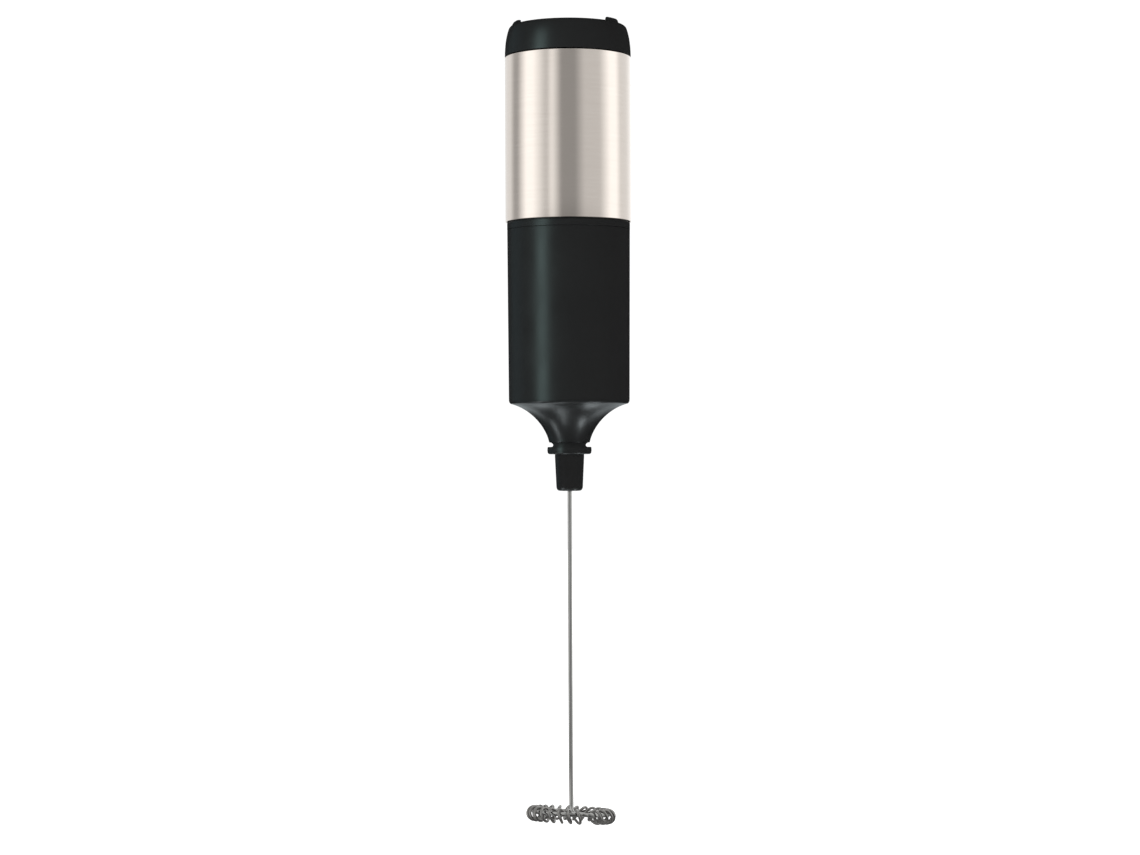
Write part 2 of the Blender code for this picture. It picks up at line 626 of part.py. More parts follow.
def make_rotor():
    """Motor rotor: a slotted core with one winding round each of its poles"""
    bottom, top = ROTOR_SPAN
    rod("motor_shaft", SHAFT_RADIUS, -71.0, -24.4, "steel", ROTOR)
    core = tube("rotor_core", SHAFT_BORE, 2.3, bottom, top, "steel", ROTOR, steps=18)
    neck = 0.9
    shoe_inner = ROTOR_RADIUS - 1.2
    pitch = 360.0 / POLES
    gap_angle = 12.0
    shoes = tube("shoes", shoe_inner, ROTOR_RADIUS, bottom + 0.001, top - 0.001, parent=ROTOR, steps=36)
    for pole in range(POLES):
        turn = pole * pitch
        slot = block(f"shoe_slot_{pole}", (3.0, -0.9, bottom - 1), (8.0, 0.9, top + 1), parent=ROTOR,
                     turn=turn + pitch / 2)
        cut(shoes, slot)
        join(core, block(f"neck_{pole}", (1.8, -neck, bottom + 0.002), (shoe_inner + 0.4, neck, top - 0.002),
                         parent=ROTOR, turn=turn))
    join(core, shoes)
    for pole in range(POLES):
        turn = pole * pitch
        name = f"rotor_winding_{pole + 1}"
        half = 2.05
        end = 1.5
        winding = block(name, (2.75, -half, bottom - end), (shoe_inner - 0.75, half, top + end), "copper", ROTOR,
                        turn=turn)
        cut(winding, block(f"{name}_window", (2.0, -neck - GAP, bottom - GAP), (6.0, neck + GAP, top + GAP),
                           parent=ROTOR, turn=turn))
    tube("commutator", SHAFT_BORE, 2.2, -32.0, -28.6, "copper", ROTOR, steps=18)
    tube("thrust_washer", SHAFT_BORE, 2.6, -49.3, -48.7, "brass", ROTOR, steps=SMALL)


# ---- whisk ------------------------------------------------------------------------------
def make_holder():
    bore = WIRE_RADIUS + GAP
    edge = bezier((3.72, -73.6), (3.68, -74.5), (3.35, HOLDER_BOTTOM), (2.8, HOLDER_BOTTOM), 4)
    turned("whisk_holder", [
        (SHAFT_BORE, HOLDER_TOP), (4.0, HOLDER_TOP), (4.1, HOLDER_TOP - 0.15),
    ] + edge + [
        (1.4, HOLDER_BOTTOM), (1.15, HOLDER_BOTTOM - 0.35), (bore, HOLDER_BOTTOM - 0.35), (bore, -71.6),
        (SHAFT_BORE, -71.6),
    ], "black_plastic", ROTOR, steps=24)


def in_ring_plane(along, across, above=0.0):
    """A point of the whisk's tilted ring: along the spoke, across it, and above the plane"""
    turn = Matrix.Rotation(math.radians(SPOKE_TURN), 3, "Z")
    tilt = Matrix.Rotation(math.radians(RING_TILT_Y), 3, "Y") @ Matrix.Rotation(math.radians(RING_TILT_X), 3, "X")
    return tilt @ turn @ Vector((along, across, above)) + Vector((0, 0, RING_HEIGHT))


def make_whisk_wire():
    """Straight down the axis, round a bend into the spoke, then round the ring"""
    bend = 2.0
    inner_bend = 1.6
    spoke_end = math.sqrt((RING_RADIUS - inner_bend) ** 2 - inner_bend ** 2)
    meeting = math.degrees(math.atan2(inner_bend, spoke_end))
    points = [(0, 0, -72.0), (0, 0, -100.0), (0, 0, -130.0)]
    points += [in_ring_plane(x, 0, z) for x, z in arc((bend, bend), bend, 180, 270, 5)]
    points += [in_ring_plane(x, y) for x, y in arc((spoke_end, inner_bend), inner_bend, -90, meeting, 5)]
    points += [in_ring_plane(x, y) for x, y in arc((0, 0), RING_RADIUS, meeting + 8, meeting + 335, 32)]
    wire("whisk_wire", points, WIRE_RADIUS, "wire_steel", ROTOR)


def make_whisk_coil():
    """Spring threaded on the ring, its ends either side of the spoke"""
    start = 20.0
    sweep = 322.0
    per_turn = 8
    count = COIL_TURNS * per_turn
    points = []
    for i in range(count + 1):
        round_coil = 2 * math.pi * i / per_turn
        reach = COIL_RING_RADIUS + COIL_RADIUS * math.cos(round_coil)
        height = COIL_RADIUS * math.sin(round_coil)
        round_ring = math.radians(start + sweep * i / count) - COIL_LEAN * height / COIL_RING_RADIUS
        points.append(in_ring_plane(reach * math.cos(round_ring), reach * math.sin(round_ring),
                                    height - COIL_DROP))
    wire("whisk_coil", points, COIL_WIRE, "wire_steel", ROTOR)


make_housing()
make_nose()
make_motor_case()
make_magnets()
make_brushes()
make_cradle()
make_carrier()
make_cell("battery_a", -CELL_X, True)
make_cell("battery_b", CELL_X, False)
make_contacts()
make_leads()
make_sleeve()
make_battery_tube()
make_cap()
make_switch()
make_button()
make_rotor()
make_holder()
make_whisk_wire()
make_whisk_coil()
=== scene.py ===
"""Milk frother: the visible surfaces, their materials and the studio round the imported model.

Shapes below are in millimetres, and the mesh helpers turn them into metres. Heights are along Z,
and a radius is measured from the handle's axis, which is the Z axis.
"""
import math

import bmesh
import bpy
import numpy as np
from mathutils import Matrix, Vector


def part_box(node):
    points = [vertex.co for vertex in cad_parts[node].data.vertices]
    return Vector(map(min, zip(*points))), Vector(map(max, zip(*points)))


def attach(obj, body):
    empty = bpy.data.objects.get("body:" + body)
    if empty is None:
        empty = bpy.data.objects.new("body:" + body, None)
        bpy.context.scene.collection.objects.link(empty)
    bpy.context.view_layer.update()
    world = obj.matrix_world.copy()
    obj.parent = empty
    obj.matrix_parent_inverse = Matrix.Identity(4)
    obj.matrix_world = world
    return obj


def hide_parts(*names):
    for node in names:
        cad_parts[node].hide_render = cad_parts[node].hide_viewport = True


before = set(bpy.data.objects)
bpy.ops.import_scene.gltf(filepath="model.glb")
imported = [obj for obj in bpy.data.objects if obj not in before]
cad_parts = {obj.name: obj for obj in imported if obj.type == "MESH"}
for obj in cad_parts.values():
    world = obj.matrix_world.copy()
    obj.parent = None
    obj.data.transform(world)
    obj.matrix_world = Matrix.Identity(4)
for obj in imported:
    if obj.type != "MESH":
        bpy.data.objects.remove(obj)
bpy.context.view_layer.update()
MM = 0.001
TURN = 2 * math.pi


# ---- camera -----------------------------------------------------------------------------
def make_camera():
    """Level view of the front, a little below the middle of the handle"""
    data = bpy.data.cameras.new("camera")
    data.sensor_width = 36.0
    data.lens = 74.21
    data.clip_start = 0.01
    place = (0.00017, -0.658, -0.0573)
    camera = bpy.data.objects.new("camera", data)
    bpy.context.scene.collection.objects.link(camera)
    level = Matrix.Rotation(math.radians(90), 4, "X")
    roll = Matrix.Rotation(math.radians(-0.25), 4, "Z")
    camera.matrix_world = Matrix.Translation(place) @ level @ roll
    bpy.context.scene.camera = camera


make_camera()


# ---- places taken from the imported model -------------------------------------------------
def span(node):
    """(greatest radius, bottom, top) of a round node on the axis, in millimetres"""
    low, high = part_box(node)
    return high.x / MM, low.z / MM, high.z / MM


SLEEVE_RADIUS, SLEEVE_BOTTOM, SLEEVE_TOP = span("steel_sleeve")
BAND_RADIUS, BAND_BOTTOM, TUBE_TOP = span("battery_tube")
CAP_RADIUS, SKIRT_BOTTOM, FOOT_TOP = span("top_cap")
HOUSING_RADIUS, CONE_BOTTOM, SPIGOT_TOP = span("motor_housing")
COLLAR_RADIUS, COLLAR_BOTTOM, _ = span("nose_collar")
HOLDER_RADIUS, NUB_END, HOLDER_TOP = span("whisk_holder")
HOLDER_END = NUB_END + 0.35           # the holder's flat end, without the CAD's small nub
_, PIN_END, BUTTON_TOP = span("power_button")
FOOT_HEIGHT = 1.2
HOUSING_TOP = BAND_BOTTOM - 0.06      # a hairline seam under the black band
CAP_FLOOR = FOOT_TOP - FOOT_HEIGHT
CAP_BOTTOM = SLEEVE_TOP + 0.3
CAP_UNDERSIDE = 53.2
BUTTON_RADIUS = 7.5
HOLE_RADIUS = BUTTON_RADIUS + 0.3
TUBE_BORE = 15.9
BORE_RADIUS = 1.3                     # shaft bore of the collar and the holder
SHARP_ANGLE = math.radians(35.0)      # edges sharper than this stay crisp


# ---- mesh helpers -----------------------------------------------------------------------
def finished(name, mesh, material, body, node=None):
    """Put a mesh in the scene as a piece of the object"""
    obj = bpy.data.objects.new(name, mesh)
    bpy.context.scene.collection.objects.link(obj)
    mesh.shade_smooth()
    mesh.set_sharp_from_angle(angle=SHARP_ANGLE)
    mesh.materials.append(material)
    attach(obj, body)
    if node:
        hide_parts(*([node] if isinstance(node, str) else node))
    return obj


def mesh_of(name, vertices, faces):
    """A mesh from vertices in millimetres, with doubled vertices joined and faces turned outwards"""
    mesh = bpy.data.meshes.new(name)
    mesh.from_pydata([tuple(c * MM for c in v) for v in vertices], [], faces)
    bm = bmesh.new()
    bm.from_mesh(mesh)
    bmesh.ops.remove_doubles(bm, verts=bm.verts, dist=1e-7)
    bmesh.ops.recalc_face_normals(bm, faces=bm.faces)
    bm.to_mesh(mesh)
    bm.free()
    mesh.update()
    return mesh


def filleted(outline, closed=True, steps=4):
    """Round the corners of an outline of (radius, height) or (radius, height, corner radius)"""
    result = []
    count = len(outline)
    for i, corner in enumerate(outline):
        point = Vector(corner[:2])
        radius = corner[2] if len(corner) > 2 else 0
        if not radius or (not closed and i in (0, count - 1)):
            result.append(tuple(point))
            continue
        back = Vector(outline[i - 1][:2]) - point
        ahead = Vector(outline[(i + 1) % count][:2]) - point
        half = back.angle(ahead) / 2
        reach = min(radius / math.tan(half), 0.49 * back.length, 0.49 * ahead.length)
        start = point + back.normalized() * reach
        end = point + ahead.normalized() * reach
        for k in range(steps + 1):
            t = k / steps
            u = 1 - t
            spot = u ** 3 * start + 3 * u * u * t * (start * 0.45 + point * 0.55)
            spot += 3 * u * t * t * (end * 0.45 + point * 0.55) + t ** 3 * end
            result.append(tuple(spot))
    return result


def bezier(start, pull_start, pull_end, end, count):
    """Points of a curve of (radius, height) with a handle at each end"""
    points = []
    for i in range(count + 1):
        t = i / count
        u = 1 - t
        weights = (u ** 3, 3 * u * u * t, 3 * u * t * t, t ** 3)
        controls = (start, pull_start, pull_end, end)
        points.append(tuple(sum(w * c[k] for w, c in zip(weights, controls)) for k in range(2)))
    return points


def split(outline, limit):
    """Add points so that no step of a closed outline is longer than the limit"""
    result = []
    for i, here in enumerate(outline):
        ahead = outline[(i + 1) % len(outline)]
        result.append(here)
        parts = math.ceil(math.dist(here, ahead) / limit)
        for k in range(1, parts):
            t = k / parts
            result.append(tuple(a + (b - a) * t for a, b in zip(here, ahead)))
    return result


def revolved_mesh(name, outline, angles=144, centre=(0, 0, 0), raised=None, weight=None):
    """Turn an outline round Z. An outline that starts and ends on the axis stays open, any other
    is closed into a ring. raised is a second outline that weight(angle) brings in."""
    if isinstance(angles, int):
        angles = [TURN * i / angles for i in range(angles)]
    on_axis = outline[0][0] == 0 and outline[-1][0] == 0
    count = len(outline)
    vertices = []
    for angle in angles:
        share = weight(angle) if weight else 0.0
        for k, (radius, height) in enumerate(outline):
            if share:
                radius += (raised[k][0] - radius) * share
                height += (raised[k][1] - height) * share
            vertices.append((centre[0] + radius * math.cos(angle), centre[1] + radius * math.sin(angle),
                             centre[2] + height))
    faces = []
    steps = len(angles)
    for i in range(steps):
        j = (i + 1) % steps
        for k in range(count - 1 if on_axis else count):
            m = (k + 1) % count
            face = [i * count + k, i * count + m, j * count + m, j * count + k]
            if on_axis and k == 0:
                face = face[:3]
            elif on_axis and m == count - 1:
                face = [face[0], face[1], face[3]]
            faces.append(face)
    return mesh_of(name, vertices, faces)


def revolved(name, outline, material, body, node=None, angles=144, centre=(0, 0, 0)):
    return finished(name, revolved_mesh(name, outline, angles, centre), material, body, node)


def tube_mesh(name, points, radius, sides=12):
    """A round wire along the points, with rounded ends"""
    path = np.array(points, float)
    ahead = np.gradient(path, axis=0)
    ahead /= np.linalg.norm(ahead, axis=1)[:, None]
    normal = np.cross(ahead[0], (0.3, 0.9, 0.2))
    normal /= np.linalg.norm(normal)
    rings = []
    for i, spot in enumerate(path):
        normal = normal - ahead[i] * np.dot(normal, ahead[i])
        normal /= np.linalg.norm(normal)
        across = np.cross(ahead[i], normal)
        layers = [(0.0, 1.0)]
        if i == 0:
            layers = [(-0.9, 0.35), (-0.7, 0.7), (-0.35, 0.93), (0.0, 1.0)]
        elif i == len(path) - 1:
            layers = [(0.0, 1.0), (0.35, 0.93), (0.7, 0.7), (0.9, 0.35)]
        for along, wide in layers:
            middle = spot + ahead[i] * radius * along
            rings.append([middle + radius * wide * (normal * math.cos(a) + across * math.sin(a))
                          for a in (TURN * k / sides for k in range(sides))])
    vertices = [tuple(v) for ring in rings for v in ring]
    faces = [tuple(range(sides)), tuple(range(len(vertices) - sides, len(vertices)))]
    for i in range(len(rings) - 1):
        for k in range(sides):
            m = (k + 1) % sides
            faces.append((i * sides + k, i * sides + m, (i + 1) * sides + m, (i + 1) * sides + k))
    return mesh_of(name, vertices, faces)


# ---- materials --------------------------------------------------------------------------
def node_material(name):
    material = bpy.data.materials.new(name)
    material.use_nodes = True
    tree = material.node_tree
    return material, tree, tree.nodes["Principled BSDF"]


def noise_of(tree, scale, stretch=(1, 1, 1), detail=3.0, roughness=0.5):
    """Noise in the object's own metres, times scale"""
    where = tree.nodes.new("ShaderNodeTexCoord")
    mapping = tree.nodes.new("ShaderNodeMapping")
    mapping.inputs["Scale"].default_value = [s * scale for s in stretch]
    noise = tree.nodes.new("ShaderNodeTexNoise")
    noise.inputs["Scale"].default_value = 1.0
    noise.inputs["Detail"].default_value = detail
    noise.inputs["Roughness"].default_value = roughness
    tree.links.new(where.outputs["Object"], mapping.inputs["Vector"])
    tree.links.new(mapping.outputs["Vector"], noise.inputs["Vector"])
    return noise.outputs["Fac"]


def ranged(tree, value, low, high, from_low=0.3, from_high=0.7):
    """A value carried from one range to another; noise mostly stays within 0.3 to 0.7"""
    node = tree.nodes.new("ShaderNodeMapRange")
    node.inputs["From Min"].default_value = from_low
    node.inputs["From Max"].default_value = from_high
    node.inputs["To Min"].default_value = low
    node.inputs["To Max"].default_value = high
    tree.links.new(value, node.inputs["Value"])
    return node.outputs["Result"]


def mixed_color(tree, value, low, high):
    node = tree.nodes.new("ShaderNodeMix")
    node.data_type = "RGBA"
    node.inputs[6].default_value = (*low, 1)
    node.inputs[7].default_value = (*high, 1)
    tree.links.new(value, node.inputs[0])
    return node.outputs[2]


def bumped(tree, shader, value, strength, distance):
    bump = tree.nodes.new("ShaderNodeBump")
    bump.inputs["Strength"].default_value = strength
    bump.inputs["Distance"].default_value = distance
    tree.links.new(value, bump.inputs["Height"])
    tree.links.new(bump.outputs["Normal"], shader.inputs["Normal"])


def plastic(name, dark, light, roughness, grain=2600.0, bump=0.12, ior=1.45):
    """Moulded plastic: a fine spark-eroded grain, and slow clouds in its gloss from handling"""
    material, tree, shader = node_material(name)
    clouds = noise_of(tree, 90.0, detail=4.0)
    color = mixed_color(tree, ranged(tree, clouds, 0.0, 1.0), dark, light)
    tree.links.new(color, shader.inputs["Base Color"])
    tree.links.new(ranged(tree, clouds, roughness - 0.04, roughness + 0.05), shader.inputs["Roughness"])
    shader.inputs["IOR"].default_value = ior
    bumped(tree, shader, noise_of(tree, grain, detail=2.0), bump, 0.00002)
    return material


def metal(name, dark, light, roughness, stretch=(1, 1, 1), grain=1500.0, bump=0.1, spread=0.06,
          anisotropic=0.0):
    """Metal with a drawn or brushed grain along the direction where the stretch is small"""
    material, tree, shader = node_material(name)
    lines = noise_of(tree, grain, stretch, detail=3.0, roughness=0.6)
    color = mixed_color(tree, ranged(tree, lines, 0.0, 1.0), dark, light)
    tree.links.new(color, shader.inputs["Base Color"])
    tree.links.new(ranged(tree, lines, roughness - spread, roughness + spread), shader.inputs["Roughness"])
    shader.inputs["Metallic"].default_value = 1.0
    if anisotropic:
        shader.inputs["Anisotropic"].default_value = anisotropic
        tangent = tree.nodes.new("ShaderNodeTangent")
        tangent.direction_type = "RADIAL"
        tangent.axis = "Z"
        tree.links.new(tangent.outputs["Tangent"], shader.inputs["Tangent"])
    bumped(tree, shader, lines, bump, 0.00001)
    return material


BLACK = plastic("black_plastic", (0.0105, 0.0107, 0.0110), (0.0130, 0.0132, 0.0135), 0.34)
SOFT_BLACK = plastic("soft_black", (0.010, 0.010, 0.010), (0.015, 0.015, 0.015), 0.62, 900.0, 0.35, 1.35)
STEEL = metal("brushed_steel", (0.63, 0.575, 0.525), (0.69, 0.635, 0.585), 0.12, (0.012, 0.012, 1.6),
              grain=9000.0, bump=0.04, spread=0.025, anisotropic=0.7)
WIRE = metal("wire_steel", (0.27, 0.27, 0.26), (0.38, 0.38, 0.37), 0.20, (1, 1, 0.1))
# The coil's steel is painted darker than the wire's steel. This is painted shade for the shadowing among the
# coil's close turns, not a different metal.
SHADED_COIL_STEEL = metal("coil_steel_painted_shade", (0.18, 0.178, 0.17), (0.27, 0.265, 0.255), 0.20, (1, 1, 0.1))
NICKEL = metal("nickel", (0.62, 0.59, 0.53), (0.74, 0.71, 0.64), 0.26)
BRASS = metal("brass", (0.62, 0.43, 0.17), (0.74, 0.54, 0.25), 0.30)
COPPER = metal("copper", (0.62, 0.27, 0.13), (0.74, 0.36, 0.18), 0.34)
BRONZE = metal("bronze", (0.38, 0.25, 0.13), (0.50, 0.34, 0.19), 0.48)
PALE = plastic("pale_plastic", (0.62, 0.61, 0.57), (0.70, 0.69, 0.66), 0.45, 1500.0, 0.1)
RUBBER = plastic("rubber", (0.020, 0.020, 0.020), (0.028, 0.028, 0.028), 0.75, 700.0, 0.4, 1.35)
FERRITE = plastic("ferrite", (0.035, 0.035, 0.040), (0.055, 0.055, 0.060), 0.58, 1100.0, 0.5)
CORE = metal("core_iron", (0.30, 0.30, 0.30), (0.44, 0.44, 0.43), 0.38, (0.1, 0.1, 1.0),
             grain=6000.0, bump=0.4)
WRAPPER = plastic("cell_wrapper", (0.035, 0.036, 0.040), (0.048, 0.049, 0.054), 0.26, 500.0, 0.05)
BAND_BLUE = plastic("cell_band", (0.012, 0.060, 0.150), (0.018, 0.080, 0.190), 0.26, 500.0, 0.05)
RED = plastic("red_insulation", (0.45, 0.012, 0.012), (0.55, 0.022, 0.020), 0.42, 900.0, 0.1)
BLACK_WIRE = plastic("black_insulation", (0.014, 0.014, 0.014), (0.022, 0.022, 0.022), 0.42, 900.0, 0.1)


# ---- cover ------------------------------------------------------------------------------
def make_sleeve():
    wall = 0.4
    inner = SLEEVE_RADIUS - wall
    outline = filleted([
        (inner, SLEEVE_TOP, 0.1), (SLEEVE_RADIUS, SLEEVE_TOP, 0.14), (SLEEVE_RADIUS, SLEEVE_BOTTOM, 0.14),
        (inner, SLEEVE_BOTTOM, 0.1),
    ])
    revolved("sleeve", outline, STEEL, "cover", "steel_sleeve", angles=256)


def make_tube():
    """The tube under the sleeve, with the wider band that shows below it"""
    outer = SLEEVE_RADIUS - 0.7
    lip_top = SLEEVE_BOTTOM - 0.3
    outline = filleted([
        (TUBE_BORE, TUBE_TOP, 0.1), (outer, TUBE_TOP, 0.15), (outer, lip_top, 0.05),
        (BAND_RADIUS, lip_top, 0.12), (BAND_RADIUS, BAND_BOTTOM, 0.06), (TUBE_BORE, BAND_BOTTOM, 0.25),
    ])
    revolved("tube", outline, BLACK, "cover", "battery_tube", angles=256)


FOOT_TURNS = [math.radians(turn) for turn in (-34.0, 80.0, 194.0)]
FOOT_HALF = math.radians(7.2)
FOOT_EDGE = math.radians(1.6)


def foot_weight(angle):
    """1 on a foot, 0 off it, with a short rounded slope between"""
    best = 0.0
    for turn in FOOT_TURNS:
        off = abs((angle - turn + math.pi) % TURN - math.pi)
        t = min(1.0, max(0.0, (FOOT_HALF + FOOT_EDGE - off) / FOOT_EDGE))
        best = max(best, math.sin(t * math.pi / 2) ** 0.8)
    return best


def make_cap():
    """The domed cap. The ring of the feet has one profile off the feet and one on them."""
    skirt = TUBE_BORE - 0.3
    skirt_inner = skirt - 0.8
    hole_wall = CAP_FLOOR - 0.8
    side_end = (CAP_RADIUS, CAP_BOTTOM + 0.25)
    shoulder = (16.45, CAP_FLOOR - 0.6)
    rim = bezier((15.62, CAP_FLOOR - 0.02), (15.98, CAP_FLOOR - 0.03), (16.24, CAP_FLOOR - 0.22),
                 shoulder, 5)
    side = bezier(shoulder, (17.2, CAP_FLOOR - 2.5), (CAP_RADIUS - 0.05, 49.8), side_end, 18)
    plain = [(radius, 0) for radius in (14.0, 14.04, 14.06, 14.1, 14.2, 14.4, 14.8, 15.0, 15.2, 15.35, 15.5)]
    grown = [(13.84, 0.02), (13.89, 0.1), (13.91, 0.5), (13.93, 0.95), (14.0, 1.13), (14.15, FOOT_HEIGHT),
             (14.6, FOOT_HEIGHT), (15.0, 1.1), (15.3, 0.9), (15.5, 0.62), (15.61, 0.25)]
    start = filleted([(HOLE_RADIUS, hole_wall), (HOLE_RADIUS, CAP_FLOOR, 0.3), (12.6, CAP_FLOOR)], False)
    end = filleted([
        side_end, (CAP_RADIUS - 0.02, CAP_BOTTOM, 0.14), (skirt, CAP_BOTTOM, 0.1),
        (skirt, SKIRT_BOTTOM, 0.2), (skirt_inner, SKIRT_BOTTOM, 0.2), (skirt_inner, 46.6, 0.2),
        (16.0, 48.0, 0.5), (15.6, 51.4, 1.0), (14.0, CAP_UNDERSIDE, 0.8), (HOLE_RADIUS, CAP_UNDERSIDE, 0.2),
        (HOLE_RADIUS, hole_wall),
    ], False)
    top = start + [(13.4, CAP_FLOOR), (13.8, CAP_FLOOR)]
    outline = top + [(r, CAP_FLOOR + z) for r, z in plain] + rim + side[1:-1] + end[:-1]
    raised = top + [(r, CAP_FLOOR + z) for r, z in grown] + rim + side[1:-1] + end[:-1]
    angles = {TURN * i / 180 for i in range(180)}
    edge_steps = 8
    for turn in FOOT_TURNS:
        for sign in (-1, 1):
            for k in range(edge_steps + 1):
                angles.add((turn + sign * (FOOT_HALF + FOOT_EDGE * k / edge_steps)) % TURN)
    mesh = revolved_mesh("cap", outline, sorted(angles), raised=raised, weight=foot_weight)
    finished("cap", mesh, BLACK, "cover", "top_cap")
    boss_top, boss_end, screw_distance = CAP_UNDERSIDE - 0.2, 48.2, 11.3
    boss = filleted([(1.1, boss_top), (2.2, boss_top + 0.6), (2.2, boss_end, 0.2), (1.1, boss_end, 0.15)])
    for name, side_of_cap in (("cap_boss_1", -1), ("cap_boss_2", 1)):
        revolved(name, boss, BLACK, "cover", angles=48,
                 centre=(0, side_of_cap * screw_distance, 0))


def make_button():
    """A shallow dish for the finger, a flange that stops under the cap, and a stepped stem"""
    flange_radius, flange_top, flange_bottom = 8.7, 52.9, 51.9
    stem_radius, pin_radius, step = 2.4, 1.5, 46.9
    crown = bezier((0, BUTTON_TOP - 0.45), (3.6, BUTTON_TOP - 0.42), (5.0, BUTTON_TOP),
                   (6.3, BUTTON_TOP - 0.15), 14)
    outline = filleted(crown + [
        (BUTTON_RADIUS, BUTTON_TOP - 1.0, 0.9), (BUTTON_RADIUS, flange_top, 0.1),
        (flange_radius, flange_top, 0.15), (flange_radius, flange_bottom, 0.15),
        (stem_radius, flange_bottom, 0.2), (stem_radius, step, 0.1), (pin_radius, step, 0.05),
        (pin_radius, PIN_END, 0.2), (0, PIN_END),
    ], False)
    revolved("button", outline, SOFT_BLACK, "button", "power_button", angles=128)


# ---- housing and nose -------------------------------------------------------------------
def make_housing():
    """The motor housing: a spigot for the cover, a barrel, and the trumpet-shaped cone"""
    spigot, bead = 15.5, 15.6
    bore = 14.75
    throat, motor_bore = 3.15, 5.2
    low_radius = 16.9
    edge = (16.3, -50.67)
    corner = bezier((low_radius, -49.5), (low_radius - 0.04, -50.1), (16.7, -50.5), edge, 8)
    cone = bezier(edge, (10.77, -52.07), (6.61, -57.07), (5.72, CONE_BOTTOM + 0.15), 36)
    outline = filleted([
        (bore, SPIGOT_TOP, 0.2), (spigot, SPIGOT_TOP, 0.5), (spigot, 3.3), (bead, 3.1, 0.1),
        (bead, 2.6, 0.1), (spigot, 2.4), (spigot, HOUSING_TOP, 0.15), (HOUSING_RADIUS, HOUSING_TOP, 0.06),
    ] + corner + cone[1:] + [
        (5.6, CONE_BOTTOM, 0.08), (throat, CONE_BOTTOM, 0.1), (throat, -57.5), (motor_bore, -57.5, 0.2),
        (motor_bore, -53.0, 0.5), (6.5, -50.8, 0.5), (11.2, -50.8, 0.5), (bore, -48.9, 0.8),
    ])
    revolved("housing", split(outline, 6.0), BLACK, "handle", "motor_housing", angles=256)


def cut_out(obj, mesh):
    """Cut a closed mesh out of a piece, and keep only the result"""
    tool = bpy.data.objects.new("tool", mesh)
    bpy.context.scene.collection.objects.link(tool)
    modifier = obj.modifiers.new("cut", "BOOLEAN")
    modifier.operation = "DIFFERENCE"
    modifier.object = tool
    modifier.solver = "EXACT"
    bpy.context.view_layer.update()
    graph = bpy.context.evaluated_depsgraph_get()
    result = bpy.data.meshes.new_from_object(obj.evaluated_get(graph))
    obj.modifiers.clear()
    obj.data = result
    bpy.data.objects.remove(tool)


def make_collar():
    """The short collar under the cone, with a notch cut straight through on its left and right"""
    top = CONE_BOTTOM - 0.04
    recess = COLLAR_BOTTOM + 0.45
    flange, flange_top, flange_bottom = 4.4, -56.4, -57.2
    neck = 2.85
    outline = filleted([
        (BORE_RADIUS, flange_top), (flange, flange_top, 0.3), (flange, flange_bottom, 0.1),
        (neck, flange_bottom), (neck, top, 0.03), (5.66, top, 0.05), (6.14, -62.95, 0.5),
        (COLLAR_RADIUS, -63.6, 0.4), (6.1, -64.4, 0.4), (5.75, COLLAR_BOTTOM, 0.25),
        (4.4, COLLAR_BOTTOM, 0.1), (4.4, recess, 0.1), (BORE_RADIUS, recess),
    ])
    collar = revolved("collar", outline, BLACK, "handle", "nose_collar", angles=160)
    notch_radius, notch_middle, notch_floor = 0.55, -62.2, 4.55
    past_side, past_front = 8.0, 9.0
    for side in (-1, 1):
        rounded = [(side * (notch_floor + notch_radius - notch_radius * math.cos(a)),
                    notch_middle - notch_radius * math.sin(a))
                   for a in (math.pi * (k / 12 - 0.5) for k in range(13))]
        loop = rounded + [(side * past_side, -62.78), (side * past_side, -61.2), (side * 5.1, -61.2)]
        vertices = [(x, y, z) for y in (-past_front, past_front) for x, z in loop]
        n = len(loop)
        faces = [tuple(range(n)), tuple(range(2 * n - 1, n - 1, -1))]
        faces += [(k, (k + 1) % n, n + (k + 1) % n, n + k) for k in range(n)]
        cut_out(collar, mesh_of("notch", vertices, faces))
    collar.data.shade_smooth()
    collar.data.set_sharp_from_angle(angle=SHARP_ANGLE)


# ---- whisk ------------------------------------------------------------------------------
def make_holder():
    """The tapered hub, whose rim reaches into the collar's recess"""
    rim_top = HOLDER_TOP + 0.5
    wire_hole, shaft_end = 0.62, -71.6
    outline = filleted([
        (BORE_RADIUS, rim_top), (HOLDER_RADIUS - 0.03, rim_top, 0.1), (HOLDER_RADIUS, HOLDER_TOP - 0.2),
        (3.72, -73.6), (3.68, -74.15, 0.3), (3.3, HOLDER_END, 0.7), (wire_hole, HOLDER_END, 0.15),
        (wire_hole, shaft_end), (BORE_RADIUS, shaft_end),
    ], steps=6)
    revolved("holder", split(outline, 3.0), BLACK, "rotor", "whisk_holder", angles=128)


WIRE_RADIUS = 0.6
RING_HEIGHT = -165.2
RING_RADIUS = 10.5
SPOKE_TURN = -66.0         # degrees from the right, seen from above
COIL_RING_RADIUS = 10.45
COIL_DROP = 0.5            # the coil hangs loose on the ring
COIL_LEAN = 0.6            # each turn leans along the ring by this share of its height
COIL_RADIUS = 1.8
COIL_WIRE = 0.37
COIL_TURNS = 26
COIL_START = 11.0          # degrees from the spoke
COIL_SWEEP = 342.0
RING_TILT = (Matrix.Rotation(math.radians(3.0), 3, "Y") @ Matrix.Rotation(math.radians(-6.5), 3, "X")
             @ Matrix.Rotation(math.radians(SPOKE_TURN), 3, "Z"))


def in_ring_plane(along, across, above=0.0):
    """A point of the tilted ring: along the spoke, across it, and above the plane"""
    return tuple(RING_TILT @ Vector((along, across, above)) + Vector((0, 0, RING_HEIGHT)))


def arc(centre, radius, from_angle, to_angle, count):
    """Points of a plane arc, its angles in degrees"""
    turns = [math.radians(from_angle + (to_angle - from_angle) * i / count) for i in range(count + 1)]
    return [(centre[0] + radius * math.cos(a), centre[1] + radius * math.sin(a)) for a in turns]


